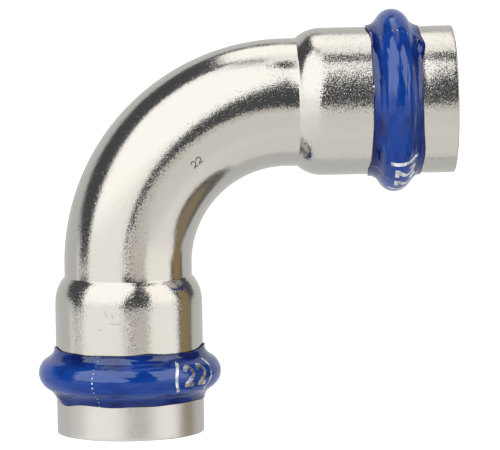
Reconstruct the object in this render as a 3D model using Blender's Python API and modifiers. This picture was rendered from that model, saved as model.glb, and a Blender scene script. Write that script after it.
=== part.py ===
# A 90 degree press fit elbow for 22 mm stainless steel tube, lying on a bench as it comes to rest.
# The body is one bent and expanded tube. Each end is a socket with a raised bead. Inside the bead lies
# a rubber seal ring, and a shrunk plastic film sleeve is wrapped around the outside of it. When the
# joint has been pressed, the sleeve breaks away. All lengths are in metres.

import math

import bmesh
import bpy
from mathutils import Matrix, Vector

MM = 0.001

# Body
TUBE_DIAMETER = 22.0 * MM  # outside of the tube to be joined, and of the bend itself
WALL = 1.5 * MM
SOCKET_PLAY = 0.2 * MM  # between the tube and the inside of the socket, on the radius
BEND_RADIUS = 27.5 * MM  # of the centre line
BEND_LEAD = 1.9 * MM  # straight run between the bend and each socket
MOUTH_LIP = 6.5 * MM  # plain cylinder between the mouth and the bead
BARREL_LENGTH = 8.6 * MM  # plain cylinder between the bead and the shoulder
SHOULDER_RADIUS = 6.0 * MM  # arc that closes the socket down to the bend, and stops the tube
RIM_CHAMFER = 0.2 * MM

# Seal ring, and the bead that is formed around it
SEAL_CORD = 2.6 * MM  # thickness of the ring
SEAL_SQUEEZE = 0.1 * MM  # how far the tube presses into the ring, on the radius
SEAL_GAP = 0.3 * MM  # between the ring and the crest of its groove
BEAD_FOOT_RADIUS = 1.2 * MM  # fillet between the bead and the plain cylinders
BEAD_FLANK_ANGLE = math.radians(55)

# Film sleeve
FILM_THICKNESS = 0.15 * MM
FILM_GAP = 0.3 * MM  # between the film and the steel under it
FILM_FOOT_RADIUS = 2.4 * MM  # the film bridges the bead's foot in a wider curve
FILM_FRONT_LAP = 0.6 * MM  # beyond the bead, towards the mouth
FILM_BACK_LAP = 0.5 * MM  # beyond the bead, towards the shoulder
FILM_FLARE = 0.3 * MM  # how far the back edge stands off

# Fineness of the curved faces
ROUND_SIDES = 36
BEND_STEPS = 14
CREST_STEPS = 3
FOOT_STEPS = 2
SHOULDER_STEPS = 4
SEAL_CORD_SIDES = 10
TILT_ROUNDS = 20

# Derived sizes
BEND_OUTSIDE = TUBE_DIAMETER / 2
SOCKET_INSIDE = TUBE_DIAMETER / 2 + SOCKET_PLAY
SOCKET_OUTSIDE = SOCKET_INSIDE + WALL
SEAL_INSIDE = TUBE_DIAMETER / 2 - SEAL_SQUEEZE
GROOVE_RADIUS = SEAL_INSIDE + SEAL_CORD + SEAL_GAP
BEAD_HEIGHT = GROOVE_RADIUS + WALL - SOCKET_OUTSIDE
BEAD_CREST_ARC = SEAL_CORD / 2 + WALL
FILM_INSIDE = SOCKET_OUTSIDE + FILM_GAP
FILM_CREST_ARC = BEAD_CREST_ARC + FILM_GAP
MERGE_DISTANCE = 0.001 * MM


def half_bead(height, crest_arc, foot_arc):
    """Half of a bead's outline, from crest to foot: (distance from the crest, rise above the cylinder)."""
    slope = min(BEAD_FLANK_ANGLE, math.acos(1 - height / (crest_arc + foot_arc)))
    flank_rise = height - (crest_arc + foot_arc) * (1 - math.cos(slope))
    half_width = (crest_arc + foot_arc) * math.sin(slope) + flank_rise / math.tan(slope)
    crest, foot = [], []
    for i in range(CREST_STEPS + 1):
        turn = slope * i / CREST_STEPS
        crest.append((crest_arc * math.sin(turn), height - crest_arc * (1 - math.cos(turn))))
    for i in range(FOOT_STEPS + 1):
        turn = slope * (1 - i / FOOT_STEPS)
        foot.append((half_width - foot_arc * math.sin(turn), foot_arc * (1 - math.cos(turn))))
    if flank_rise < MERGE_DISTANCE:
        foot = foot[1:]
    return crest + foot


BEAD = half_bead(BEAD_HEIGHT, BEAD_CREST_ARC, BEAD_FOOT_RADIUS)
BEAD_HALF_WIDTH = BEAD[-1][0]
BEAD_SETBACK = MOUTH_LIP + BEAD_HALF_WIDTH  # mouth to crest
SOCKET_DEPTH = BEAD_SETBACK + BEAD_HALF_WIDTH + BARREL_LENGTH
SHOULDER_DROP = SOCKET_OUTSIDE - BEND_OUTSIDE
SHOULDER_LENGTH = math.sqrt(2 * SHOULDER_RADIUS * SHOULDER_DROP - SHOULDER_DROP**2)
LEG_LENGTH = SOCKET_DEPTH + SHOULDER_LENGTH + BEND_LEAD + BEND_RADIUS  # mouth to the crossing of the axes


def rise_along(outline, distance):
    """The rise of a half bead at a distance from its crest."""
    for (near, high), (far, low) in zip(outline, outline[1:]):
        if distance <= far:
            return high + (low - high) * (distance - near) / (far - near)
    return outline[-1][1]


def socket_outline():
    """The outside of a socket, from the mouth to the crease at the bend: (distance from the mouth, radius)."""
    outline = [(0.0, SOCKET_OUTSIDE)]
    outline += [(BEAD_SETBACK - out, SOCKET_OUTSIDE + rise) for out, rise in reversed(BEAD)]
    outline += [(BEAD_SETBACK + out, SOCKET_OUTSIDE + rise) for out, rise in BEAD[1:]]
    last_turn = math.asin(SHOULDER_LENGTH / SHOULDER_RADIUS)
    for i in range(SHOULDER_STEPS + 1):
        turn = last_turn * i / SHOULDER_STEPS
        drop = SHOULDER_RADIUS * (1 - math.cos(turn))
        outline.append((SOCKET_DEPTH + SHOULDER_RADIUS * math.sin(turn), SOCKET_OUTSIDE - drop))
    return outline


def body_stations():
    """Centre points and outside radii along the whole elbow. The axes of its legs cross at the origin."""
    outline = socket_outline()
    stations = [(Vector((0, along - LEG_LENGTH, 0)), radius) for along, radius in outline]
    for i in range(BEND_STEPS + 1):
        turn = math.pi / 2 * i / BEND_STEPS
        x = BEND_RADIUS * (1 - math.cos(turn))
        y = BEND_RADIUS * (math.sin(turn) - 1)
        stations.append((Vector((x, y, 0)), BEND_OUTSIDE))
    stations += [(Vector((LEG_LENGTH - along, 0, 0)), radius) for along, radius in reversed(outline)]
    return stations


def clear_scene():
    for obj in list(bpy.data.objects):
        bpy.data.objects.remove(obj)


def make_material(name, colour, metallic, roughness):
    material = bpy.data.materials.new(name)
    material.use_nodes = True
    shader = material.node_tree.nodes["Principled BSDF"]
    shader.inputs["Base Color"].default_value = (*colour, 1.0)
    shader.inputs["Metallic"].default_value = metallic
    shader.inputs["Roughness"].default_value = roughness
    return material


def shade(obj, material):
    obj.data.materials.clear()
    obj.data.materials.append(material)
    obj.data.shade_smooth()
    obj.data.set_sharp_from_angle(angle=math.radians(35))


def add_object(name, data, collection, parent):
    obj = bpy.data.objects.new(name, data)
    collection.objects.link(obj)
    obj.parent = parent
    return obj


def mesh_from_curve(curve_object, name, collection, parent):
    """A mesh object with the shape of a curve, which is removed."""
    graph = bpy.context.evaluated_depsgraph_get()
    mesh = bpy.data.meshes.new_from_object(curve_object.evaluated_get(graph))
    obj = add_object(name, mesh, collection, parent)
    obj.matrix_world = curve_object.matrix_world
    bpy.data.objects.remove(curve_object)
    return obj


def make_body(collection, parent, material):
    """The steel tube: its outer skin is swept along the centre line, and then given its wall."""
    stations = body_stations()
    curve = bpy.data.curves.new("elbow_skin", "CURVE")
    curve.dimensions = "3D"
    curve.twist_mode = "Z_UP"
    curve.bevel_depth = BEND_OUTSIDE
    curve.bevel_resolution = (ROUND_SIDES - 4) // 2
    spline = curve.splines.new("POLY")
    spline.points.add(len(stations) - 1)
    for point, (centre, radius) in zip(spline.points, stations):
        point.co = (*centre, 1.0)
        point.radius = radius / BEND_OUTSIDE
    swept = add_object("elbow_skin", curve, collection, parent)
    bpy.context.view_layer.update()
    body = mesh_from_curve(swept, "elbow_body", collection, parent)

    wall = body.modifiers.new("wall", "SOLIDIFY")
    wall.thickness = WALL
    wall.offset = -1.0
    wall.use_even_offset = True
    rim = body.modifiers.new("rim", "BEVEL")
    rim.width = min(RIM_CHAMFER, WALL / 3)
    rim.segments = 1
    rim.limit_method = "ANGLE"
    rim.angle_limit = math.radians(70)
    shade(body, material)
    return body


def make_film(name, collection, parent, material):
    """The film sleeve, turned about the axis of its leg, with its origin at the bead's crest."""
    outline = half_bead(BEAD_HEIGHT, FILM_CREST_ARC, FILM_FOOT_RADIUS)
    front = BEAD_HALF_WIDTH + FILM_FRONT_LAP
    back = BEAD_HALF_WIDTH + FILM_BACK_LAP
    profile = [(FILM_INSIDE + rise_along(outline, front), front)]
    profile += [(FILM_INSIDE + rise, out) for out, rise in reversed(outline) if out < front]
    profile += [(FILM_INSIDE + rise, -out) for out, rise in outline[1:] if out < back - FILM_FLARE]
    profile += [(FILM_INSIDE + rise_along(outline, back) + FILM_FLARE, -back)]
    mesh = bpy.data.meshes.new(name)
    edges = [(i, i + 1) for i in range(len(profile) - 1)]
    mesh.from_pydata([(radius, 0, height) for radius, height in profile], edges, [])
    film = add_object(name, mesh, collection, parent)
    turn = film.modifiers.new("turn", "SCREW")
    turn.steps = ROUND_SIDES
    turn.render_steps = ROUND_SIDES
    turn.use_merge_vertices = True
    turn.merge_threshold = MERGE_DISTANCE
    wall = film.modifiers.new("wall", "SOLIDIFY")
    wall.thickness = FILM_THICKNESS
    wall.offset = 1.0
    wall.use_even_offset = True
    shade(film, material)
    return film


def make_seal(name, collection, parent, material):
    """The rubber ring in the groove under the bead, with its origin at the bead's crest."""
    bpy.ops.mesh.primitive_torus_add(
        major_radius=SEAL_INSIDE + SEAL_CORD / 2,
        minor_radius=SEAL_CORD / 2,
        major_segments=ROUND_SIDES,
        minor_segments=SEAL_CORD_SIDES,
    )
    seal = bpy.context.object
    for owner in list(seal.users_collection):
        owner.objects.unlink(seal)
    collection.objects.link(seal)
    seal.name = name
    seal.parent = parent
    shade(seal, material)
    return seal


def rest_tilt():
    """How far the elbow leans back when it lies on a flat surface.

    It touches with both film sleeves and with the underside of the bend, which is the thinner part.
    """
    crest_radius = FILM_INSIDE + BEAD_HEIGHT + FILM_THICKNESS
    crest_arc = FILM_CREST_ARC + FILM_THICKNESS
    crest_along = LEG_LENGTH - BEAD_SETBACK
    reach = crest_along / math.sqrt(2) - (math.sqrt(2) - 1) * BEND_RADIUS
    sine = 0.0
    for _ in range(TILT_ROUNDS):
        leg_cosine = math.sqrt(1 - sine**2 / 2)
        sine = ((crest_radius - crest_arc) * leg_cosine + crest_arc - BEND_OUTSIDE) / reach
    return math.asin(sine)


def lay_on_bench(stand, parts):
    """Leans the elbow back and puts the middle of its footprint at the origin, with its lowest point at 0."""
    stand.rotation_mode = "QUATERNION"
    stand.rotation_quaternion = Matrix.Rotation(-rest_tilt(), 3, Vector((1, 1, 0))).to_quaternion()
    bpy.context.view_layer.update()
    graph = bpy.context.evaluated_depsgraph_get()
    points = []
    for part in parts:
        evaluated = part.evaluated_get(graph)
        mesh = evaluated.to_mesh()
        points += [evaluated.matrix_world @ vertex.co for vertex in mesh.vertices]
        evaluated.to_mesh_clear()
    low = Vector(min(point[axis] for point in points) for axis in range(3))
    high = Vector(max(point[axis] for point in points) for axis in range(3))
    stand.location = (-(low.x + high.x) / 2, -(low.y + high.y) / 2, -low.z)
    bpy.context.view_layer.update()


def add_empty(name, collection, parent, matrix):
    empty = add_object(name, None, collection, parent)
    empty.matrix_local = matrix
    return empty


def build():
    clear_scene()
    collection = bpy.data.collections.new("press_fit_elbow")
    bpy.context.scene.collection.children.link(collection)
    steel = make_material("stainless_steel", (0.60, 0.58, 0.55), 1.0, 0.25)
    film = make_material("blue_film", (0.02, 0.07, 0.36), 0.0, 0.2)
    rubber = make_material("seal_rubber", (0.02, 0.02, 0.02), 0.0, 0.6)

    stand = add_empty("at_rest", collection, None, Matrix.Identity(4))
    parts = [make_body(collection, stand, steel)]
    # Each leg's +Z runs out of its mouth, with its origin at the bead's crest.
    crest_along = LEG_LENGTH - BEAD_SETBACK
    legs = {
        "a": Matrix.Translation((0, -crest_along, 0)) @ Matrix.Rotation(math.pi / 2, 4, "X"),
        "b": Matrix.Translation((crest_along, 0, 0)) @ Matrix.Rotation(math.pi / 2, 4, "Y"),
    }
    for letter, place in legs.items():
        leg = add_empty("leg_" + letter, collection, stand, place)
        parts.append(make_seal("seal_ring_" + letter, collection, leg, rubber))
        parts.append(make_film("film_sleeve_" + letter, collection, leg, film))
    lay_on_bench(stand, parts)


build()
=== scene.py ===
import math
import random

import bmesh
import bpy
from mathutils import Matrix, Vector, noise


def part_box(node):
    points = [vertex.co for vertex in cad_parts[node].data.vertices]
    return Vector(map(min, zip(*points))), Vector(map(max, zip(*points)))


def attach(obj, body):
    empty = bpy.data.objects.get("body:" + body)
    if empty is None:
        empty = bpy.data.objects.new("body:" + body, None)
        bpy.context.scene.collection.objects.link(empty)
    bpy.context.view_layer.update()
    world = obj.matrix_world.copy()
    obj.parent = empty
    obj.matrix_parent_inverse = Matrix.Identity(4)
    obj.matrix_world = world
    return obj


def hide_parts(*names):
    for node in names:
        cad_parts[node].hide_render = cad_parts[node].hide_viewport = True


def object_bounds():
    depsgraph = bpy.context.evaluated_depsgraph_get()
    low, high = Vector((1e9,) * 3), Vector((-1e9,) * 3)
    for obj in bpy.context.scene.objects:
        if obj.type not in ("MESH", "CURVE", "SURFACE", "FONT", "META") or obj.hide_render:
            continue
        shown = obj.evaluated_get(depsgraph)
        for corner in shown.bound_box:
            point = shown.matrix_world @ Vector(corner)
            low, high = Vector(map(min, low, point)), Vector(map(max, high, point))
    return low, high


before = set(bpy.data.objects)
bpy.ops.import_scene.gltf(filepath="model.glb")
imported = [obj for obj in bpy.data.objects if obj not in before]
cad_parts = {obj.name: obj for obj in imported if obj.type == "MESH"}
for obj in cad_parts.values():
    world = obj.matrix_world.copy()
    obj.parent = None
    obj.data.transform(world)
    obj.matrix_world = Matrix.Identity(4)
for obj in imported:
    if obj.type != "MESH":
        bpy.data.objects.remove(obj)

# A 90 degree press elbow for 22 mm stainless tube, lying on a pale table and seen from above.
# Lengths are in millimetres and angles in degrees, and the steps that make meshes turn them to metres.
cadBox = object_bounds()
mm = 0.001

elbow = {
    "tube": 22.0,  # outside of the tube to be joined, and of the bend
    "wall": 1.5,
    "play": 0.2,  # tube to socket, on the radius
    "bendRadius": 27.5,
    "bendLead": 1.9,  # straight tube between the bend and each shoulder
    "mouthLip": 6.5,
    "barrel": 8.6,
    "shoulder": 6.0,
    "shoulderEase": {"a": 1.3, "b": 0.9},  # how gently each leg's barrel turns into the shoulder
    "mouthFlare": {"a": 0.0, "b": 0.1},  # how much each mouth flares past its bead's foot, on the radius
    "flareRun": 1.6,  # how far from the bead's foot the lip is narrower than its mouth
    "flareStart": 0.5,  # and how far it takes to get so narrow
    "rimRound": 0.2,
    "beadFoot": 1.2,
    "beadFlank": 55.0,
    "crease": 0.12,  # how wide the shoulder's crease looks rounded
    "calm": {"a": 0.5, "b": 0.0},  # how much smoother each socket came out than its shoulder
    "calmFade": 2.0,  # how far that takes to set in, from the shoulder
    "unpolished": (2.0, 0.4),  # how dull a calm socket is for its calmness, at its lip and its barrel
    "bendGrain": (0.42, 0.08),  # how far bending worked the skin, and how much more on the bend's outside
    "sides": 192,
    "rimSteps": 4,
    "lipSteps": 12,
    "beadSteps": 9,
    "barrelSteps": 34,
    "bendSteps": 72,
}

# The bead's height follows from the seal and the film over it, so their sizes come here too.
seal = {"cord": 2.6, "squeeze": 0.1, "gap": 0.3, "sides": 144, "cordSides": 32}

film = {
    "thickness": 0.15,
    "gap": 0.3,  # from the steel at the bead's crest
    "hug": 0.04,  # and at the sleeve's edges
    "foot": 2.4,
    "front": 4.45,  # from the bead's crest to the edge at the lip
    "back": 4.35,  # and to the edge at the barrel
    "sway": (2.2, 0.16),  # how often and how far both edges wander
    "flare": 0.1,  # how far the back edge stands up
    "flareRun": 1.2,
    "sides": 440,
    "steps": 96,
    "cutEdge": 0.14,  # how wide the painted shade line along a cut edge is, where the film takes its dense colour
    "stretch": (0.25, 0.9),  # how thin the film is drawn at its edges, and how much thinner on the crest
    "turns": 1.9,  # how often the buckles change round the bead
    "streak": (0.55, 0.035),  # fine buckles: how far apart and how high
    "swell": (1.6, 0.05),  # and broad ones
    "slack": (0.35, 2.5),  # share of the buckles on the crest, and how far out they reach full height
}

tubeRadius = elbow["tube"] / 2
boreRadius = tubeRadius + elbow["play"]
socketRadius = boreRadius + elbow["wall"]
sealInside = tubeRadius - seal["squeeze"]
beadHeight = sealInside + seal["cord"] + seal["gap"] + elbow["wall"] - socketRadius
beadArc = seal["cord"] / 2 + elbow["wall"]


# Half of a bead from crest to foot, as points (distance from the crest, rise above the socket).
def halfBead(height, crestArc, footArc, steps):
    slope = min(math.radians(elbow["beadFlank"]), math.acos(1 - height / (crestArc + footArc)))
    flankRise = height - (crestArc + footArc) * (1 - math.cos(slope))
    halfWidth = (crestArc + footArc) * math.sin(slope) + flankRise / math.tan(slope)
    turns = [slope * i / steps for i in range(steps + 1)]
    crest = [(crestArc * math.sin(turn), height - crestArc * (1 - math.cos(turn))) for turn in turns]
    turns = [slope * (1 - i / steps) for i in range(steps + 1)]
    foot = [(halfWidth - footArc * math.sin(turn), footArc * (1 - math.cos(turn))) for turn in turns]
    return crest + foot


beadHalfWidth = halfBead(beadHeight, beadArc, elbow["beadFoot"], 4)[-1][0]
beadSetback = elbow["mouthLip"] + beadHalfWidth
socketDepth = beadSetback + beadHalfWidth + elbow["barrel"]
shoulderDrop = socketRadius - tubeRadius
shoulderLength = math.sqrt(2 * elbow["shoulder"] * shoulderDrop - shoulderDrop**2)
legLength = socketDepth + shoulderLength + elbow["bendLead"] + elbow["bendRadius"]
legStraight = legLength - elbow["bendRadius"]
bendLength = elbow["bendRadius"] * math.pi / 2
pathLength = 2 * legStraight + bendLength


# How far the elbow leans back as it lies on both sleeves and on the underside of the bend.
def restTilt():
    crestRadius = socketRadius + film["gap"] + beadHeight + film["thickness"]
    crestArc = beadArc + film["gap"] + film["thickness"]
    reach = (legLength - beadSetback) / math.sqrt(2) - (math.sqrt(2) - 1) * elbow["bendRadius"]
    sine = 0.0
    for _ in range(20):
        legCosine = math.sqrt(1 - sine**2 / 2)
        sine = ((crestRadius - crestArc) * legCosine + crestArc - tubeRadius) / reach
    return math.asin(sine)


def boxMiddle(node):
    low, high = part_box(node)
    return (low + high) / 2


# The elbow's own frame: the legs' axes cross at its origin, leg a runs along -Y and leg b along +X.
lean = Matrix.Rotation(-restTilt(), 4, Vector((1, 1, 0)))
crossing = boxMiddle("seal_ring_b") - (lean @ Vector((1, 0, 0))) * (legLength - beadSetback) * mm
elbowPlace = Matrix.Translation(crossing) @ lean

legs = {  # each leg: where its mouth points, and the side that the angles turn to from the front
    "a": {"out": Vector((0, -1, 0)), "side": Vector((1, 0, 0))},
    "b": {"out": Vector((1, 0, 0)), "side": Vector((0, 1, 0))},
}
facing = Vector((0, 0, 1))


def hexColour(code, strength=1.0):
    channels = [int(code[i:i + 2], 16) / 255 for i in (1, 3, 5)]
    linear = [c / 12.92 if c <= 0.04045 else ((c + 0.055) / 1.055) ** 2.4 for c in channels]
    return (*[c * strength for c in linear], 1.0)


# Adds a node. Settings are its attributes and inputs, and an input takes a value or another node's output.
def addNode(tree, kind, settings=None):
    node = tree.nodes.new(kind)
    for key, value in (settings or {}).items():
        if isinstance(key, str) and hasattr(node, key):
            setattr(node, key, value)
        elif isinstance(value, bpy.types.Node):
            tree.links.new(value.outputs[0], node.inputs[key])
        elif isinstance(value, bpy.types.NodeSocket):
            tree.links.new(value, node.inputs[key])
        else:
            node.inputs[key].default_value = value
    return node


def addMath(tree, operation, *sides):
    return addNode(tree, "ShaderNodeMath", {"operation": operation, **dict(enumerate(sides))})


def addNoise(tree, size, detail, place, roughness=0.5):
    settings = {"Scale": 1 / size, "Detail": detail, "Roughness": roughness, "Vector": place}
    return addNode(tree, "ShaderNodeTexNoise", settings)


# Noise over a whole piece, by its size in millimetres.
def addMottle(tree, size, detail):
    return addNoise(tree, size * mm, detail, addNode(tree, "ShaderNodeTexCoord").outputs["Object"])


def addRange(tree, value, start, end, low=0.0, high=1.0):
    settings = {"From Min": start, "From Max": end, "To Min": low, "To Max": high, "Value": value}
    return addNode(tree, "ShaderNodeMapRange", settings)


# Adds a mix of two colours by a factor. Its inputs 6 and 7 are the colours, and output 2 the mix.
def addMix(tree, factor, first, second, blend="MIX"):
    settings = {"data_type": "RGBA", "blend_type": blend, 0: factor, 6: first, 7: second}
    return addNode(tree, "ShaderNodeMix", settings).outputs[2]


def newMaterial(name, settings):
    material = bpy.data.materials.new(name)
    material.use_nodes = True
    tree = material.node_tree
    shader = tree.nodes["Principled BSDF"]
    for key, value in settings.items():
        shader.inputs[key].default_value = value
    return material, tree, shader


# A closed skin from rows of points. Each row closes on itself, and the last row joins the first.
def meshFromRows(name, rows, material, extras=None):
    count = len(rows[0])
    faces = []
    for j in range(len(rows)):
        for i in range(count):
            a, b = j * count + i, j * count + (i + 1) % count
            nextRow = (j + 1) % len(rows) * count
            faces.append((a, b, nextRow + (i + 1) % count, nextRow + i))
    mesh = bpy.data.meshes.new(name)
    mesh.from_pydata([point for row in rows for point in row], [], faces)
    for key, (kind, values) in (extras or {}).items():
        layer = mesh.attributes.new(key, kind, "POINT")
        field = "vector" if kind == "FLOAT_VECTOR" else "value"
        layer.data.foreach_set(field, values)
    mesh.materials.append(material)
    faceOutwards(mesh)
    mesh.shade_smooth()
    return addPiece(name, mesh)


def faceOutwards(mesh):
    work = bmesh.new()
    work.from_mesh(mesh)
    bmesh.ops.recalc_face_normals(work, faces=work.faces)
    work.to_mesh(mesh)
    work.free()


def addPiece(name, mesh):
    obj = bpy.data.objects.new(name, mesh)
    bpy.context.scene.collection.objects.link(obj)
    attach(obj, "root")
    return obj


steelLook = {
    "bright": "#CAC9C6",  # pickled and polished stainless: pale, a little warm
    "warm": "#CCC8C1",
    "pickled": "#D1CFCB",  # paler still where it wasn't polished after pickling
    "patch": 9.0,  # size of the warmer patches
    "roughness": (0.07, 0.10),
    "patchEdges": (0.3, 0.7),  # values of the patches' noise, from the smooth end to the rough one
    "dullness": 0.24,  # added to the roughness where the steel wasn't polished
    "grain": 0.17,  # orange peel from forming, drawn coarser than the real one so that it shows
    "grainTilt": (0.0, 0.6),  # how far its humps lean, where the steel is unworked and fully worked
    "grainTail": (26.0, 0.3),  # how fast the lean grows with a hump's size squared, and where it starts
    "swell": 2.2,  # soft unevenness
    "swellDepth": 0.006,
    "drawLines": 0.45,  # apart, faint lines along the tube from drawing, coarser than the real ones
    "lineStretch": 0.04,
    "lineDepth": 0.0012,
}


# Stainless steel, drawn, bent, expanded and pickled: it mirrors the room in broad soft bands, and the
# grain breaks the bands' edges into sparkle, more so where the metal has been stretched.
def makeSteel():
    look = steelLook
    material, tree, shader = newMaterial("pickledStainlessSteel", {"Metallic": 1.0})
    straight = addNode(tree, "ShaderNodeAttribute", {"attribute_name": "straight"}).outputs["Vector"]
    worked = addNode(tree, "ShaderNodeAttribute", {"attribute_name": "worked"}).outputs["Fac"]
    dull = addNode(tree, "ShaderNodeAttribute", {"attribute_name": "dull"}).outputs["Fac"]

    patches = addNoise(tree, look["patch"], 2.0, straight)
    colour = addMix(tree, patches, hexColour(look["bright"]), hexColour(look["warm"]))
    paler = addMix(tree, dull, colour, hexColour(look["pickled"]))
    tree.links.new(paler, shader.inputs["Base Color"])

    polish = addRange(tree, patches, *look["patchEdges"], *look["roughness"])
    duller = addMath(tree, "MULTIPLY_ADD", dull, look["dullness"], polish)
    tree.links.new(duller.outputs[0], shader.inputs["Roughness"])

    drawn = addNode(tree, "ShaderNodeMapping", {"Scale": (1, 1, look["lineStretch"]), "Vector": straight})
    lines = addNoise(tree, look["drawLines"], 1.0, drawn)
    swell = addNoise(tree, look["swell"], 2.0, straight)
    height = addMath(tree, "MULTIPLY_ADD", swell, look["swellDepth"] / look["lineDepth"], lines)
    bump = addNode(tree, "ShaderNodeBump",
                   {"Strength": 1.0, "Distance": look["lineDepth"] * mm, "Height": height})

    grain = addNoise(tree, look["grain"], 2.0, straight, 0.6).outputs["Color"]
    centred = addNode(tree, "ShaderNodeVectorMath", {"operation": "SUBTRACT", 0: grain, 1: (0.5, 0.5, 0.5)})
    tilt = addRange(tree, worked, 0.0, 1.0, *look["grainTilt"])
    size = addNode(tree, "ShaderNodeVectorMath", {"operation": "LENGTH", 0: centred}).outputs["Value"]
    square = addMath(tree, "MULTIPLY", size, size)
    sharper = addMath(tree, "MULTIPLY_ADD", square, *look["grainTail"])
    reach = addMath(tree, "MULTIPLY", sharper, tilt)
    leaning = addNode(tree, "ShaderNodeVectorMath", {"operation": "SCALE", 0: centred, "Scale": reach})
    faced = addNode(tree, "ShaderNodeVectorMath", {"operation": "ADD", 0: bump, 1: leaning})
    even = addNode(tree, "ShaderNodeVectorMath", {"operation": "NORMALIZE", 0: faced})
    tree.links.new(even.outputs[0], shader.inputs["Normal"])
    return material


# The socket's skin from the mouth inwards, as points (distance from the mouth, radius).
def socketSkin(leg, inside):
    wall = elbow["wall"]
    cylinder = boreRadius if inside else socketRadius
    crestArc = beadArc - wall if inside else beadArc
    footArc = elbow["beadFoot"] + wall if inside else elbow["beadFoot"]
    turnRadius = elbow["shoulder"] - wall if inside else elbow["shoulder"]
    tube = tubeRadius - wall if inside else tubeRadius
    bead = halfBead(beadHeight, crestArc, footArc, elbow["beadSteps"])
    edge, rimSteps = elbow["rimRound"], elbow["rimSteps"]
    sign = 1 if inside else -1
    skin = [(0.0, cylinder + sign * edge)]
    for i in range(1, rimSteps):
        turn = math.pi / 2 * (rimSteps - i) / rimSteps
        skin.append((edge * (1 - math.sin(turn)), cylinder + sign * edge * (1 - math.cos(turn))))
    skin.append((edge, cylinder))
    lip, lipSteps = beadSetback - bead[-1][0] - edge, elbow["lipSteps"]
    for i in range(1, lipSteps):
        toFoot = lip * (1 - i / lipSteps)
        waist = math.exp(-(toFoot / elbow["flareRun"]) ** 2) * min(1.0, toFoot / elbow["flareStart"])
        skin.append((edge + lip - toFoot, cylinder - elbow["mouthFlare"][leg] * waist))
    skin += [(beadSetback - out, cylinder + rise) for out, rise in reversed(bead)]
    skin += [(beadSetback + out, cylinder + rise) for out, rise in bead[1:]]
    last = math.acos(1 - (cylinder - tube) / turnRadius)
    length = turnRadius * math.sin(last)
    soft, ease, barrelSteps = elbow["crease"], elbow["shoulderEase"][leg], elbow["barrelSteps"]
    start = skin[-1][0]
    end = socketDepth + length - soft * math.cos(last)
    reachAtEnd = (length + math.hypot(length, ease)) / 2
    for i in range(1, barrelSteps + 1):
        along = start + (end - start) * i / barrelSteps
        beyond = along - socketDepth
        eased = (beyond + math.hypot(beyond, ease)) / 2 * length / reachAtEnd
        skin.append((along, cylinder - turnRadius + math.sqrt(turnRadius**2 - eased**2)))
    crease = (socketDepth + length, tube)
    skin += [(crease[0] + soft * 0.1, crease[1] + soft * 0.1), (crease[0] + soft, crease[1])]
    return skin


# Radius of a leg's outside at a distance from its mouth.
def socketProfile(leg, out):
    skin = socketSkin(leg, False)
    for (near, high), (far, low) in zip(skin, skin[1:]):
        if near <= out <= far:
            return high + (low - high) * (out - near) / (far - near)
    return socketRadius


# A point of the elbow's centre line, and the direction from it to the outside of the bend.
def centreLine(along):
    radius = elbow["bendRadius"]
    if along <= legStraight:
        return Vector((0, along - legLength, 0)), Vector((-1, 0, 0))
    if along >= legStraight + bendLength:
        return Vector((legLength - (pathLength - along), 0, 0)), Vector((0, 1, 0))
    turn = (along - legStraight) / radius
    outward = Vector((-math.cos(turn), math.sin(turn), 0))
    return Vector((radius, -radius, 0)) + outward * radius, outward


# A point of the elbow's skin, in metres. The angle is 0 on the outside of the bend and 90 on its front.
def skinPoint(along, angle, radius):
    centre, outward = centreLine(along)
    point = centre + (outward * math.cos(angle) + facing * math.sin(angle)) * radius
    return elbowPlace @ (point * mm)


def makeElbow(material):
    print("elbow: swept skins with formed sockets")
    steps = elbow["bendSteps"]
    middle = [legStraight + bendLength * i / steps for i in range(steps + 1)]
    stations = socketSkin("a", False) + [(along, tubeRadius) for along in middle]
    stations += [(pathLength - along, radius) for along, radius in reversed(socketSkin("b", False))]
    stations += [(pathLength - along, radius) for along, radius in socketSkin("b", True)]
    stations += [(along, tubeRadius - elbow["wall"]) for along in reversed(middle)]
    stations += list(reversed(socketSkin("a", True)))
    bendWork, outsideWork = elbow["bendGrain"]
    rows, straight, worked, dull = [], [], [], []
    for along, radius in stations:
        row = []
        leg = "a" if along < pathLength / 2 else "b"
        fromMouth = min(along, pathLength - along)
        socket = min(1, max(0, (socketDepth + shoulderLength - fromMouth) / shoulderLength))
        calm = min(1, max(0, (socketDepth - fromMouth) / elbow["calmFade"])) * elbow["calm"][leg]
        unpolished = calm * elbow["unpolished"][0 if fromMouth < beadSetback else 1]
        for i in range(elbow["sides"]):
            angle = 2 * math.pi * i / elbow["sides"]
            row.append(skinPoint(along, angle, radius))
            straight += [radius * math.cos(angle), radius * math.sin(angle), along]
            bent = bendWork + outsideWork * math.cos(angle)
            worked.append(socket * (1 - calm) + (1 - socket) * bent)
            dull.append(unpolished)
        rows.append(row)
    extras = {"straight": ("FLOAT_VECTOR", straight), "worked": ("FLOAT", worked), "dull": ("FLOAT", dull)}
    body = meshFromRows("elbowBody", rows, material, extras)
    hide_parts("elbow_body")


# The middle line of a digit 2, in two strokes that start at its lower left corner.
def digitTwo(width, height, stroke):
    radius = width / 2
    neck, sweep, steps = -38, 203, 16  # the arc's turn from its neck, over the top, to its left end
    arc = [math.radians(neck + sweep * i / steps) for i in range(steps + 1)]
    curve = [(radius * math.cos(turn), height - radius + radius * math.sin(turn)) for turn in arc]
    overhang = stroke / 4  # of the foot, past the lower left corner
    return [[(-radius, 0.0)] + curve, [(-radius - overhang, 0.0), (radius, 0.0)]]


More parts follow.
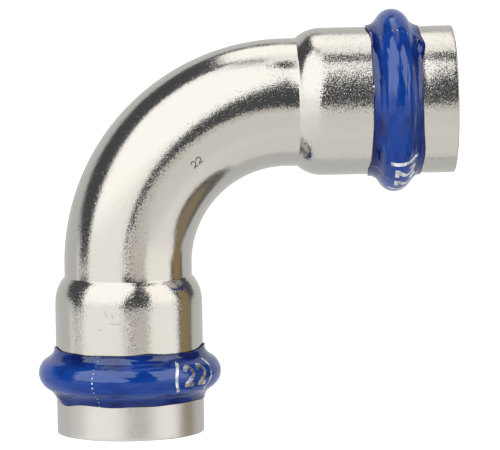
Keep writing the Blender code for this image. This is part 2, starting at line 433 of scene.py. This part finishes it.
# The two sides of a stroke of some width along a line of points.
def strokeSides(line, width):
    sides = []
    for i, (x, y) in enumerate(line):
        (fromX, fromY), (toX, toY) = line[max(i - 1, 0)], line[min(i + 1, len(line) - 1)]
        length = math.hypot(toX - fromX, toY - fromY)
        overX, overY = (fromY - toY) / length * width / 2, (toX - fromX) / length * width / 2
        sides.append([(x + overX, y + overY), (x - overX, y - overY)])
    return sides


# Adds a flat strip to lists of points and faces, from pairs of points along its two sides.
def addStrip(points, faces, pairs):
    first = len(points)
    for pair in pairs:
        points += pair
    for near in range(first, len(points) - 2, 2):
        faces.append((near, near + 2, near + 3, near + 1))


def addMarks(name, points, faces, material):
    mesh = bpy.data.meshes.new(name)
    mesh.from_pydata(points, [], faces)
    mesh.materials.append(material)
    mesh.shade_smooth()
    addPiece(name, mesh)


burnLook = {"dark": "#4E463C", "pale": "#8B8276", "mottle": 0.15}


# Laser mark on steel: a matt brown oxide, thin enough for some shine to come through.
def makeBurn():
    look = burnLook
    material, tree, shader = newMaterial("laserOxide", {"Metallic": 0.5, "Roughness": 0.45})
    mottle = addMottle(tree, look["mottle"], 2.0)
    colour = addMix(tree, mottle, hexColour(look["dark"]), hexColour(look["pale"]))
    tree.links.new(colour, shader.inputs["Base Color"])
    return material


sizeMark = {  # the size, burnt into the bend by laser: two digits that read along the bend
    "turn": 47.0,  # degrees round the bend, where the first digit's corner lies
    "foot": 109.3,  # degrees round the tube, of the base line
    "digit": (0.8, 1.12),
    "pitch": 1.07,
    "stroke": 0.22,
    "lift": 0.006,
    "overlap": 1.3,  # times the lift, for the second stroke where a digit's strokes cross
}


def makeSizeMark(material):
    print("size mark")
    mark = sizeMark
    points, faces = [], []
    foot = math.radians(mark["foot"])
    stretch = elbow["bendRadius"] / (elbow["bendRadius"] + tubeRadius * math.cos(foot))
    start = legStraight + math.radians(mark["turn"]) * elbow["bendRadius"]
    width, height = mark["digit"]
    for digit in range(2):
        shift = width / 2 + digit * mark["pitch"]
        strokes = digitTwo(width, height, mark["stroke"])
        for line, lift in zip(strokes, (mark["lift"], mark["lift"] * mark["overlap"])):
            pairs = [[skinPoint(start + (x + shift) * stretch, foot - y / tubeRadius, tubeRadius + lift)
                      for x, y in pair] for pair in strokeSides(line, mark["stroke"])]
            addStrip(points, faces, pairs)
    addMarks("sizeMark", points, faces, material)


handling = {  # light scratches and nicks, each between two places (from the mouth, degrees round the tube)
    "a": [((20.35, 71.8), (20.15, 82.5)), ((22.6, 68.4), (21.3, 70.7)), ((21.0, 94.6), (21.5, 98.0)),
          ((19.3, 63.0), (19.0, 66.5)), ((21.9, 74.5), (21.2, 75.5))],
    "b": [((5.5, 138.6), (3.9, 138.2)), ((3.6, 138.4), (2.1, 138.9)), ((1.9, 138.0), (0.4, 138.3))],
    "width": 0.07,
    "lift": 0.004,
    "steps": 8,
    "taper": (0.1, 0.9),  # the part of a half wave that a mark's width follows
}


def makeHandlingMarks(material):
    print("handling marks")
    points, faces = [], []
    steps, (first, last) = handling["steps"], handling["taper"]
    for leg in legs:
        for near, far in handling[leg]:
            pairs = []
            for i in range(steps + 1):
                out, angle = (start + (end - start) * i / steps for start, end in zip(near, far))
                radius = socketProfile(leg, out) + handling["lift"]
                along = out if leg == "a" else pathLength - out
                run, turn = far[0] - near[0], math.radians(far[1] - near[1]) * radius
                taper = handling["width"] / 2 * math.sin(math.pi * (first + (last - first) * i / steps))
                across, around = (taper * side / math.hypot(run, turn) for side in (turn, run))
                pairs.append([skinPoint(along + sign * across, math.radians(angle) - sign * around / radius,
                                        radius) for sign in (1, -1)])
            addStrip(points, faces, pairs)
    addMarks("handlingMarks", points, faces, material)


rubberLook = {"dark": "#131314", "pale": "#1F1F21", "mottle": 0.8, "depth": 0.01}


# EPDM rubber, moulded: deep black, with a faint sheen and no flash.
def makeRubber():
    look = rubberLook
    material, tree, shader = newMaterial("mouldedRubber", {"IOR": 1.52, "Roughness": 0.5})
    mottle = addMottle(tree, look["mottle"], 3.0)
    colour = addMix(tree, mottle, hexColour(look["dark"]), hexColour(look["pale"]))
    tree.links.new(colour, shader.inputs["Base Color"])
    bump = addNode(tree, "ShaderNodeBump",
                   {"Strength": 0.3, "Distance": look["depth"] * mm, "Height": mottle})
    tree.links.new(bump.outputs[0], shader.inputs["Normal"])
    return material


# A point of a leg's surface, in metres. The angle is 0 at the front and 90 at the leg's side. Out runs from
# the bead's crest to the mouth.
def legPoint(leg, out, angle, radius):
    sideways = facing * math.cos(angle) + legs[leg]["side"] * math.sin(angle)
    along = legLength - beadSetback + out
    return elbowPlace @ ((legs[leg]["out"] * along + sideways * radius) * mm)


def makeSeal(leg, material):
    print("seal ring", leg)
    rows = []
    cord = seal["cord"] / 2
    for j in range(seal["cordSides"]):
        turn = 2 * math.pi * j / seal["cordSides"]
        radius = sealInside + cord + cord * math.cos(turn)
        rows.append([legPoint(leg, cord * math.sin(turn), 2 * math.pi * i / seal["sides"], radius)
                     for i in range(seal["sides"])])
    ring = meshFromRows("sealRing_" + leg, rows, material)
    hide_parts("seal_ring_" + leg)


# What each sleeve's shrinking left. Angles run round the bead, 0 at the front. An edge sways by (angle, how
# wide, how much longer). A fold is (angle, how far it runs to each side, out from the crest, how wide, how
# high, how far its ends slant). The label is (first digit's angle, shift to the mouth, which way it reads),
# and each of its bars is (place beside the first digit's middle, lean, bow, width). The perforation is
# (angle, radius of its holes where the film is stretched most). Nicks are angles, and scratches are lines
# of (angle, out).
shrunk = {
    "a": {
        "seed": 3.0,
        "back": [(-84, 11, 0.4), (84, 12, 0.4), (12, 9, 0.2), (150, 25, 0.25), (-140, 30, -0.2)],
        "front": [(-60, 9, 0.4), (-88, 9, -0.7), (-16, 12, 0.12), (125, 18, 0.3), (-160, 22, -0.25)],
        "folds": [(-66, 15, 3.9, 0.75, 0.38, 0.5), (-57, 9, 3.0, 0.22, 0.16, 0.8),
                  (-4, 26, -3.25, 0.3, 0.07, 0.2), (2, 30, -2.2, 0.4, 0.05, -0.3),
                  (-12, 14, 2.36, 0.14, -0.17, 0.0), (22, 6, 2.4, 0.14, -0.08, 0.0),
                  (-70, 20, -2.4, 0.3, 0.09, 0.9), (20, 8, 4.3, 0.4, 0.1, 0.3),
                  (140, 30, 3.2, 0.4, 0.2, 1.0)],
        "label": (38.8, 0.0, 1),
        "bars": [(-2.92, -0.03, 0.18, 0.62), (5.7, 0.41, -0.075, 0.6)],
        "perforation": (-26.5, 0.19),
        "nicks": [-150.0],
        "scratches": [[(-63.5, 1.6), (-60.5, 2.3), (-58.0, 3.2)]],
    },
    "b": {
        "seed": 9.0,
        "back": [(84, 9, 0.35), (60, 12, -0.2), (-68, 16, 0.4), (-150, 30, 0.25)],
        "front": [(51, 9, 0.65), (-42, 16, 0.2), (12, 20, -0.2), (170, 25, 0.3)],
        "folds": [(54, 12, 4.0, 0.7, 0.42, -0.5), (46, 10, 3.1, 0.2, 0.14, -0.6),
                  (14, 26, 1.15, 0.22, 0.055, 0.35), (22, 20, 1.95, 0.2, 0.06, -0.4),
                  (4, 24, 2.7, 0.24, 0.09, 0.3), (30, 12, 2.5, 0.15, 0.07, 0.7),
                  (-8, 16, 3.5, 0.2, 0.09, -0.2), (20, 26, -1.4, 0.3, 0.035, 0.2),
                  (-30, 14, -3.0, 0.4, 0.08, 0.9), (-34, 10, 1.9, 0.35, 0.14, 0.9),
                  (-70, 16, 3.0, 0.35, 0.2, 0.5), (120, 30, 3.4, 0.4, 0.2, 0.8)],
        "label": (-49.2, 0.65, -1),
        "bars": [(-2.55, 0.0, 0.0, 0.9), (5.85, 0.0, 0.0, 0.8)],
        "perforation": (54.0, 0.15),
        "nicks": [15.5],
        "scratches": [[(-54.2, -4.3), (-55.6, -3.3), (-56.2, -2.2), (-57.4, -1.3)]],
    },
}

creases = {  # fine creases scattered over each sleeve, where the film buckled as it shrank
    "count": 70,
    "middle": (-180, 180),
    "span": (7, 26),
    "out": (-4, 4),
    "width": (0.12, 0.26),
    "height": (0.02, 0.08),
    "slant": (-0.9, 0.9),
}

label = {  # the clear windows in the ink: a bar, the size in two digits, and a bar
    "stroke": 0.78,
    "digit": (1.85, 2.95),  # width and height between the middles of the strokes
    "foot": -0.85,  # the digits' base line, from the crest
    "pitch": 3.1,
    "bar": (-2.05, 2.9),  # ends from the crest
    "barSteps": 8,
    "nick": 0.25,
    "scratch": 0.13,
    "holePitch": 0.88,
    "holeSides": 12,
    "widest": (0.4, 1.2),  # where the tear line's holes are stretched most, and over how far
    "probe": 0.1,  # how far to each side the film's slope is taken, to space the holes along it
    "outline": 0.03,  # shadow gap round each window
    "holeOutline": 0.009,
    "reach": (0.1, 1.0),  # how far the cutting bars go below the socket's skin and above the crest
    "sharp": 40,  # degrees between faces, from which an edge of the cut film is sharp
}

filmLook = {
    "thin": "#0A3C95",  # where the film is stretched over the bead
    "denseAndEdgeShade": "#051656",  # where it has shrunk most, along its edges and in folds; also the painted shade line along each cut edge
    "shine": "#E8F4FF",
    "cloud": 1.6,  # size of the ink's uneven patches, drawn out round the bead
    "cloudStretch": 0.4,
    "ink": (0.35, 0.65, -0.4, 0.4),  # from the patches' noise to how much thinner the ink is
    "ripple": 0.3,  # fine wrinkles that run round the bead
    "rippleStretch": 0.22,
    "rippleDepth": 0.05,
    "loosePatch": 3.5,  # size of the places where the film grips less and wrinkles more
    "loose": (0.4, 0.62, 0.05, 1.0),  # from their noise to how strong the wrinkles are
}


# Shrunk polyester film, dyed blue: deep colour under a glossy skin that wrinkles as it grips the bead.
def makeFilm():
    look = filmLook
    settings = {"IOR": 1.5, "Roughness": 0.0, "Specular Tint": hexColour(look["shine"])}
    material, tree, shader = newMaterial("shrunkBlueFilm", settings)
    wrap = addNode(tree, "ShaderNodeAttribute", {"attribute_name": "wrap"}).outputs["Vector"]
    stretch = addNode(tree, "ShaderNodeAttribute", {"attribute_name": "stretch"}).outputs["Fac"]

    drawn = addNode(tree, "ShaderNodeMapping",
                    {"Scale": (look["cloudStretch"], look["cloudStretch"], 1), "Vector": wrap})
    shade = addNoise(tree, look["cloud"], 3.0, drawn)
    ink = addRange(tree, shade, *look["ink"])
    # The stretch is lowered along each cut edge, which gives the painted shade line there in the dense
    # colour.
    share = addNode(tree, "ShaderNodeMath", {"operation": "ADD", "use_clamp": True, 0: ink, 1: stretch})
    colour = addMix(tree, share, hexColour(look["denseAndEdgeShade"]), hexColour(look["thin"]))
    tree.links.new(colour, shader.inputs["Base Color"])

    along = addNode(tree, "ShaderNodeMapping",
                    {"Scale": (look["rippleStretch"], look["rippleStretch"], 1), "Vector": wrap})
    ripple = addNoise(tree, look["ripple"], 2.0, along)
    patch = addNoise(tree, look["loosePatch"], 1.0, wrap)
    loose = addRange(tree, patch, *look["loose"])
    bump = addNode(tree, "ShaderNodeBump",
                   {"Distance": look["rippleDepth"] * mm, "Height": ripple, "Strength": loose})
    tree.links.new(bump.outputs[0], shader.inputs["Normal"])
    return material


# The windows' bright and shade colours are a painted highlight and a painted shade.
clearLook = {"bright": "#EEF2FA", "shade": "#A2A9BA", "mottle": 1.1, "edges": (0.42, 0.6), "depth": 0.03}


# Clear film pressed on steel: the ink's windows show the steel, and their colour mottles between a painted
# highlight and a painted shade, standing in for the steel's reflections broken up by the crumpled film.
def makeClearFilm():
    look = clearLook
    material, tree, shader = newMaterial("clearFilmOverSteel", {"Metallic": 0.85, "Roughness": 0.13})
    # Painted highlight and painted shade: the colour mottles between a bright and a dark grey.
    mottle = addMottle(tree, look["mottle"], 2.0)
    shine = addRange(tree, mottle, *look["edges"])
    colour = addMix(tree, shine, hexColour(look["bright"]), hexColour(look["shade"]))
    tree.links.new(colour, shader.inputs["Base Color"])
    bump = addNode(tree, "ShaderNodeBump",
                   {"Strength": 1.0, "Distance": look["depth"] * mm, "Height": mottle})
    tree.links.new(bump.outputs[0], shader.inputs["Normal"])
    return material


filmOutline = halfBead(beadHeight, beadArc + film["gap"], film["foot"], 12)
beadTop = socketRadius + film["gap"] + beadHeight + film["thickness"]


# How far the film stands off the socket at a distance from the bead's crest.
def filmRise(distance):
    for (near, high), (far, low) in zip(filmOutline, filmOutline[1:]):
        if distance <= far:
            return high + (low - high) * (distance - near) / (far - near)
    return 0.0


def turnBetween(angle, other):
    return (angle - other + 180) % 360 - 180


# Where a sleeve's edge lies at an angle, as a distance from the crest.
def edgeReach(leg, side, angle):
    often, far = film["sway"]
    reach = film[side]
    for middle, width, extra in shrunk[leg][side]:
        reach += extra * math.exp(-(turnBetween(angle, middle) / width) ** 2)
    turn = math.radians(angle)
    wave = noise.noise(Vector((often * math.cos(turn), often * math.sin(turn), shrunk[leg]["seed"])))
    return reach + far * wave


# Creases are given as folds are, and like folds they run round the bead.
def scatterCreases(leg):
    chance = random.Random(shrunk[leg]["seed"])
    keys = ("middle", "span", "out", "width", "height", "slant")
    return [tuple(chance.uniform(*creases[key]) for key in keys) for _ in range(creases["count"])]


# Radius of a sleeve's outside.
def filmRadius(leg, folds, angle, out):
    seed = shrunk[leg]["seed"]
    rise = filmRise(abs(out))
    hug = film["hug"] + (film["gap"] - film["hug"]) * min(1.0, rise / beadHeight)
    radius = socketRadius + film["thickness"] + hug + rise
    run = film["flareRun"]
    radius += film["flare"] * max(0.0, (-out - film["back"] + run) / run) ** 2
    for middle, span, at, width, height, slant in folds:
        along = turnBetween(angle, middle) / span
        if abs(along) < 1:
            across = (out - at - slant * along) / width
            radius += height * math.exp(-across ** 2) * (1 - along ** 2) ** 2
    x, y = film["turns"] * math.cos(math.radians(angle)), film["turns"] * math.sin(math.radians(angle))
    (streakPitch, streakHeight), (swellPitch, swellHeight) = film["streak"], film["swell"]
    streak = noise.noise(Vector((x, y, out / streakPitch + 20 * seed)))
    swell = noise.noise(Vector((2 * x, 2 * y, out / swellPitch + seed)))
    least, full = film["slack"]
    slack = least + (1 - least) * min(1.0, abs(out) / full)
    return radius + slack * (streakHeight * streak + swellHeight * swell)


# Adds a closed bar or pin to lists of points and faces, from the rings of points along it.
def addBar(points, faces, rings):
    start, count = len(points), len(rings[0])
    for ring in rings:
        points += ring
    for j in range(len(rings) - 1):
        for i in range(count):
            a, b = start + j * count + i, start + j * count + (i + 1) % count
            faces.append((a, b, b + count, a + count))
    faces.append(tuple(start + i for i in reversed(range(count))))
    faces.append(tuple(start + (len(rings) - 1) * count + i for i in range(count)))


# The windows of a sleeve as closed bars and pins through the film, in two rounds, because a digit's strokes
# cross. Outlined ones are smaller by the shadow gap on each side.
def windowBars(leg, outlined):
    sleeve = shrunk[leg]
    firstAngle, shift, reading = sleeve["label"]
    barGap, holeGap = (label["outline"], label["holeOutline"]) if outlined else (0, 0)
    low, high = socketRadius - label["reach"][0], beadTop + label["reach"][1]
    rounds = [([], []), ([], [])]

    def place(x, y, radius):
        angle = firstAngle + reading * math.degrees(x / beadTop)
        return legPoint(leg, -reading * (y + shift), math.radians(angle), radius)

    def cut(key, line, width):
        rings = [[place(*near, low), place(*far, low), place(*far, high), place(*near, high)]
                 for near, far in strokeSides(line, width - 2 * barGap)]
        addBar(*rounds[key], rings)

    def pin(angle, out, radius):
        radius -= holeGap
        turns = [2 * math.pi * i / label["holeSides"] for i in range(label["holeSides"])]
        rings = [[legPoint(leg, out + radius * math.sin(turn),
                           math.radians(angle) + radius * math.cos(turn) / level, level) for turn in turns]
                 for level in (low, high)]
        addBar(*rounds[0], rings)

    foot, pitch, steps = label["foot"], label["pitch"], label["barSteps"]
    barFoot, barTop = label["bar"]
    for x, slope, bow, width in sleeve["bars"]:
        heights = [barFoot + (barTop - barFoot) * i / steps for i in range(steps + 1)]
        cut(0, [(x + slope * y + bow * y**2, y) for y in heights], width)
    for digit in range(2):
        for key, line in enumerate(digitTwo(*label["digit"], label["stroke"])):
            cut(key, [(x + digit * pitch, y + foot) for x, y in line], label["stroke"])
    tear, widest = sleeve["perforation"]
    (middle, spread), probe = label["widest"], label["probe"]
    out = -edgeReach(leg, "back", tear)
    while out < edgeReach(leg, "front", tear) + widest:
        pin(tear, out, widest * (0.5 + 0.5 * math.exp(-((out - middle) / spread) ** 2)))
        slope = (filmRise(abs(out + probe)) - filmRise(abs(out - probe))) / (2 * probe)
        out += label["holePitch"] / math.sqrt(1 + slope ** 2)
    for scratch in sleeve["scratches"]:
        line = [(reading * math.radians(angle - firstAngle) * beadTop, out / -reading - shift)
                for angle, out in scratch]
        cut(0, line, label["scratch"])
    for nick in sleeve["nicks"]:
        pin(nick, -edgeReach(leg, "back", nick), label["nick"])
    return rounds


def makeSleeve(leg, material, clear):
    print("film sleeve", leg)
    steps, sides = film["steps"], film["sides"]
    edgeStretch, crestStretch = film["stretch"]
    outer, inner, wrap, stretch = [], [], [], []
    folds = shrunk[leg]["folds"] + scatterCreases(leg)
    for j in range(steps + 1):
        outerRow, innerRow = [], []
        for i in range(sides):
            angle = 360 * i / sides
            turn = math.radians(angle)
            back, front = -edgeReach(leg, "back", angle), edgeReach(leg, "front", angle)
            out = back + (front - back) * j / steps
            radius = filmRadius(leg, folds, angle, out)
            outerRow.append(legPoint(leg, out, turn, radius))
            innerRow.append(legPoint(leg, out, turn, radius - film["thickness"]))
            wrap += [radius * math.cos(turn), radius * math.sin(turn), out]
            # Painted shade: along each cut edge the stretch is lowered, so the film takes its dense colour
            # there as a dark line.
            cutEdge = 1.0 if min(out - back, front - out) < film["cutEdge"] else 0.0
            drawn = edgeStretch + crestStretch * filmRise(abs(out)) / beadHeight
            stretch.append(min(1.0, drawn) - cutEdge)
        outer.append(outerRow)
        inner.append(innerRow)
    extras = {"wrap": ("FLOAT_VECTOR", wrap * 2), "stretch": ("FLOAT", stretch * 2)}
    sleeve = meshFromRows("filmSleeve_" + leg, outer + inner[::-1], material, extras)
    panes = []
    for wide, narrow in zip(windowBars(leg, False), windowBars(leg, True)):
        panes.append(combined(sleeve, narrow, "INTERSECT"))
        sleeve.data = combined(sleeve, wide, "DIFFERENCE")
    finishCut(sleeve)
    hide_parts("film_sleeve_" + leg)
    work = bmesh.new()
    for pane in panes:
        work.from_mesh(pane)
    mesh = bpy.data.meshes.new("filmWindows_" + leg)
    work.to_mesh(mesh)
    work.free()
    mesh.materials.append(clear)
    finishCut(addPiece("filmWindows_" + leg, mesh))


def finishCut(piece):
    piece.data.shade_smooth()
    piece.data.set_sharp_from_angle(angle=math.radians(label["sharp"]))


# The mesh of a piece cut by, or cut down to, closed bars given as points and faces.
def combined(piece, bars, operation):
    mesh = bpy.data.meshes.new("bars")
    mesh.from_pydata(bars[0], [], bars[1])
    faceOutwards(mesh)
    cutter = bpy.data.objects.new("bars", mesh)
    bpy.context.scene.collection.objects.link(cutter)
    cutting = piece.modifiers.new("windows", "BOOLEAN")
    cutting.object, cutting.operation, cutting.solver = cutter, operation, "EXACT"
    bpy.context.view_layer.update()
    result = bpy.data.meshes.new_from_object(piece.evaluated_get(bpy.context.evaluated_depsgraph_get()))
    piece.modifiers.clear()
    bpy.data.objects.remove(cutter)
    return result


shot = {
    "yaw": 3.484,  # degrees, turned about the elbow's own Y, X and Z in that order
    "pitch": 6.386,
    "roll": 0.894,
    "distance": 901.4,
    "pixelsPerMm": 5.794,
    "aim": (22.0, -22.0, 0.0),  # a point in the elbow's own frame, and where it lies in the picture
    "aimPixel": (254.84, 229.83),
    "frame": (500, 450),
    "sensor": 36.0,
    "clip": (0.05, 10.0),  # metres
}


# The camera's own axes (right, up, back), in the world.
def cameraAxes():
    turn = Matrix.Identity(3)
    for key, axis in (("roll", "Z"), ("pitch", "X"), ("yaw", "Y")):
        turn = turn @ Matrix.Rotation(math.radians(shot[key]), 3, axis)
    return [lean.to_3x3() @ turn.row[i] for i in range(3)]


def makeCamera():
    print("camera")
    right, up, back = cameraAxes()
    width, height = shot["frame"]
    scale = shot["pixelsPerMm"]
    aim = elbowPlace @ (Vector(shot["aim"]) * mm)
    offset = ((width / 2 - shot["aimPixel"][0]) / scale, (shot["aimPixel"][1] - height / 2) / scale)
    data = bpy.data.cameras.new("camera")
    data.sensor_width = shot["sensor"]
    data.lens = scale * shot["distance"] / width * data.sensor_width
    data.clip_start, data.clip_end = shot["clip"]
    camera = bpy.data.objects.new("camera", data)
    bpy.context.scene.collection.objects.link(camera)
    place = aim + (back * shot["distance"] + right * offset[0] + up * offset[1]) * mm
    rotation = Matrix((right, up, back)).transposed()
    camera.matrix_world = Matrix.Translation(place) @ rotation.to_4x4()
    bpy.context.scene.camera = camera


# The room around the table, as panels painted one over the other on the sky. Sheets and ovals are placed by
# (degrees to the right, degrees up) as seen from the elbow facing the camera, and rings by (degrees from the
# camera, degrees around it). A sheet's sides are lines through points (degrees up, degrees to the right).
# The photograph flattens its bright end, so polished steel shows the lamps little brighter than the paper.
# The film's mirror-sharp gloss shows how bright they are, which is what gloss multiplies.
panels = [
    {"name": "behind", "kind": "ring", "middle": (142, 0), "half": (38, 400), "soft": (5, 1),
     "colour": "#E0E0DE", "strength": 0.92},
    {"name": "ceiling", "kind": "sheet", "left": [(0, -190)], "right": [(0, 190)], "up": (67, 91),
     "soft": (2, 4, 3), "colour": "#FBF9F5", "strength": 1.45},
    {"name": "paperShade", "kind": "oval", "middle": (20, -32), "half": (30, 20), "soft": (0.9, 0),
     "colour": "#F4F2ED", "strength": 1.02},
    {"name": "darkRoom", "kind": "sheet", "left": [(0, -74)],
     "right": [(-60, 113), (3, 117), (10, 128), (30, 137)], "up": (-11.3, 74), "soft": (2, 1.5, 3),
     "colour": "#56575B", "strength": 1.0},
    {"name": "darkArc", "kind": "sheet",
     "left": [(0, -98), (15, -116), (33, -132), (43, -146), (47, -185), (57, -185), (62, -160), (70, -130),
              (78, -98)],
     "right": [(0, -70), (45, -80), (75, -88)], "up": (-7, 77), "soft": (8, 5, 4),
     "colour": "#56575B", "strength": 1.0},
    {"name": "paperEdge", "kind": "sheet", "left": [(-17, 3), (-11, 4), (-9, 9), (-6, 16)],
     "right": [(-20, 38)], "up": (-17, -6.5), "soft": (2, 3, 1.5), "colour": "#E2DDD5", "strength": 1.0},
    {"name": "glowLeft", "kind": "sheet", "left": [(-14, -76), (20, -75)], "right": [(-14, -9), (15, -5)],
     "up": (-16, 20), "soft": (4, 3, 5), "colour": "#FDFBF7", "strength": 1.3},
    {"name": "glowRight", "kind": "sheet", "left": [(-14, 33), (10, 36)], "right": [(-14, 86), (20, 82)],
     "up": (-16, 20), "soft": (4, 3, 5), "colour": "#FDFBF7", "strength": 1.3},
    {"name": "lampLeft", "kind": "sheet", "left": [(-8, -71), (20, -75), (45, -83), (80, -86)],
     "right": [(-8, -10), (12, -5), (24, 0), (33, 5), (42, 9), (52, 14), (75, 22)], "up": (4, 74),
     "soft": (4, 9, 5), "colour": "#FFFEFB", "strength": 1.62, "gloss": 2.05},
    {"name": "lampRight", "kind": "sheet", "left": [(-8, 36), (22, 36), (40, 33), (60, 32)],
     "right": [(-8, 79), (60, 83)], "up": (3, 57), "soft": (2.5, 8, 4),
     "colour": "#FFFCF7", "strength": 1.6, "gloss": 2.05},
    {"name": "topStrip", "kind": "sheet", "left": [(0, -95)], "right": [(0, -24)], "up": (77, 84),
     "soft": (8, 3, 3), "colour": "#A8A8A6", "strength": 1.0},
    {"name": "topGap", "kind": "oval", "middle": (17, 69.5), "half": (17.5, 9), "soft": (0.4, 0),
     "colour": "#404144", "strength": 1.0},
    {"name": "lampTop", "kind": "ring", "middle": (111, 96), "half": (15, 11.8), "soft": (3, 2.5),
     "colour": "#FFFDF8", "strength": 1.62, "gloss": 1.3},
    {"name": "woodPost", "kind": "sheet", "left": [(-20, 91), (28, 90)], "right": [(-20, 112), (28, 111)],
     "up": (-20, 27), "soft": (3, 4, 4), "colour": "#A18C64", "strength": 1.0},
    {"name": "darkFoot", "kind": "oval", "middle": (104, -36), "half": (25, 21), "soft": (0.35, 0),
     "colour": "#76736D", "strength": 1.0},
    {"name": "woodFoot", "kind": "oval", "middle": (101, -30), "half": (14, 15), "soft": (0.5, 0),
     "colour": "#9C8F74", "strength": 1.0},
]

paper = {  # what the elbow lies on, as the steel sees it: lit from above, so it darkens towards the viewer
    "near": "#F8F6F2",
    "far": "#FAF8F5",
    "farStrength": 1.27,
    "fade": (-65.0, 0.0),  # degrees up, from the near colour to the far one
    "gloss": 0.6,
}


def makeStudio():
    print("studio sky and table")
    world = bpy.data.worlds.new("studio")
    world.use_nodes = True
    bpy.context.scene.world = world
    tree = world.node_tree
    tree.nodes.clear()
    direction = addNode(tree, "ShaderNodeTexCoord").outputs["Generated"]
    dots = [addNode(tree, "ShaderNodeVectorMath", {"operation": "DOT_PRODUCT", 0: direction, 1: axis})
            .outputs["Value"] for axis in cameraAxes()]

    def degrees(operation, *sides):
        return addMath(tree, "MULTIPLY", addMath(tree, operation, *sides), 180 / math.pi)

    across, upward = degrees("ARCTAN2", dots[0], dots[2]), degrees("ARCSINE", dots[1])
    away, around = degrees("ARCCOSINE", dots[2]), degrees("ARCTAN2", dots[1], dots[0])

    # How far inside a limit the value lies, faded from 0 to 1 over the soft edge.
    def within(value, limit, soft, above):
        gap = addMath(tree, "SUBTRACT", *((value, limit) if above else (limit, value)))
        fade = addRange(tree, gap, -soft, soft)
        fade.interpolation_type = "SMOOTHSTEP"
        return fade

    def product(sources):
        total = sources[0]
        for source in sources[1:]:
            total = addMath(tree, "MULTIPLY", total, source)
        return total

    # A side of a sheet: the line through its points, as degrees to the right at each height.
    def sheetSide(points):
        line = addNode(tree, "ShaderNodeFloatCurve", {"Value": addRange(tree, upward, -90.0, 90.0)})
        curve = line.mapping.curves[0]
        curve.points[0].location = (0, (points[0][1] + 180) / 360)
        curve.points[1].location = (1, (points[-1][1] + 180) / 360)
        for up, right in points:
            curve.points.new((up + 90) / 180, (right + 180) / 360)
        for point in curve.points:
            point.handle_type = "VECTOR"
        line.mapping.update()
        return addRange(tree, line, 0.0, 1.0, -180.0, 180.0)

    def offMiddle(source, middle):
        return addMath(tree, "ABSOLUTE", addMath(tree, "SUBTRACT", source, middle))

    def panelMask(panel):
        if panel["kind"] == "sheet":
            softSide, softLow, softHigh = panel["soft"]
            low, high = panel["up"]
            return product([within(across, sheetSide(panel["left"]), softSide, True),
                            within(across, sheetSide(panel["right"]), softSide, False),
                            within(upward, low, softLow, True), within(upward, high, softHigh, False)])
        softU, softV = panel["soft"]
        (u, v), (halfU, halfV) = panel["middle"], panel["half"]
        if panel["kind"] == "ring":
            return product([within(offMiddle(away, u), halfU, softU, False),
                            within(offMiddle(around, v), halfV, softV, False)])
        u = addMath(tree, "DIVIDE", offMiddle(across, u), halfU)
        v = addMath(tree, "DIVIDE", offMiddle(upward, v), halfV)
        both = addMath(tree, "MULTIPLY_ADD", v, v, addMath(tree, "MULTIPLY", u, u))
        return within(both, 1.0, softU, False)

    fall = addRange(tree, upward, *paper["fade"])
    ground = addMix(tree, fall, hexColour(paper["near"]), hexColour(paper["far"], paper["farStrength"]))
    dimmed = addMix(tree, 1.0, ground, (*[paper["gloss"]] * 3, 1), "MULTIPLY")
    colours = [ground, dimmed]  # for all rays, and for mirror-sharp ones
    for panel in panels:
        mask = panelMask(panel)
        for i, gloss in enumerate((1.0, panel.get("gloss", 1.0))):
            colour = hexColour(panel["colour"], panel["strength"] * gloss)
            colours[i] = addMix(tree, mask, colours[i], colour)
    rays = addNode(tree, "ShaderNodeLightPath")
    chosen = addMix(tree, rays.outputs["Is Singular Ray"], *colours)
    room = addNode(tree, "ShaderNodeBackground", {"Color": chosen, "Strength": 1.0})
    white = addNode(tree, "ShaderNodeBackground", {"Color": (1, 1, 1, 1), "Strength": 1.0})
    seen = addNode(tree, "ShaderNodeMixShader", {0: rays.outputs["Is Camera Ray"], 1: room, 2: white})
    addNode(tree, "ShaderNodeOutputWorld", {"Surface": seen})


tableLook = {"colour": "#F4F4F2", "roughness": 0.9, "glow": 0.62, "halfSide": 600.0}


# A white painted table top. It takes the elbow's soft shadow, and the polished steel sees the room past it.
def makeTable():
    look = tableLook
    settings = {"Base Color": hexColour(look["colour"]), "Roughness": look["roughness"],
                "Emission Color": (1, 1, 1, 1)}
    material, tree, shader = newMaterial("paintedTableTop", settings)
    rays = addNode(tree, "ShaderNodeLightPath")
    glow = addMath(tree, "MULTIPLY", rays.outputs["Is Camera Ray"], look["glow"])
    tree.links.new(glow.outputs[0], shader.inputs["Emission Strength"])
    clear = addNode(tree, "ShaderNodeBsdfTransparent")
    mixed = addNode(tree, "ShaderNodeMixShader", {0: rays.outputs["Is Glossy Ray"], 1: shader, 2: clear})
    tree.links.new(mixed.outputs[0], tree.nodes["Material Output"].inputs["Surface"])
    mesh = bpy.data.meshes.new("tableTop")
    half = look["halfSide"] * mm
    corners = [(-half, -half, 0), (half, -half, 0), (half, half, 0), (-half, half, 0)]
    mesh.from_pydata(corners, [], [(0, 1, 2, 3)])
    mesh.materials.append(material)
    table = bpy.data.objects.new("tableTop", mesh)
    bpy.context.scene.collection.objects.link(table)
    table.location.z = cadBox[0].z
    table.visible_shadow = False


makeCamera()
makeStudio()
makeTable()
makeElbow(makeSteel())
burn = makeBurn()
makeSizeMark(burn)
makeHandlingMarks(burn)
rubber, blueFilm, clearFilm = makeRubber(), makeFilm(), makeClearFilm()
for leg in legs:
    makeSeal(leg, rubber)
    makeSleeve(leg, blueFilm, clearFilm)

bpy.context.scene.view_settings.view_transform = "Standard"
bpy.context.view_layer.update()
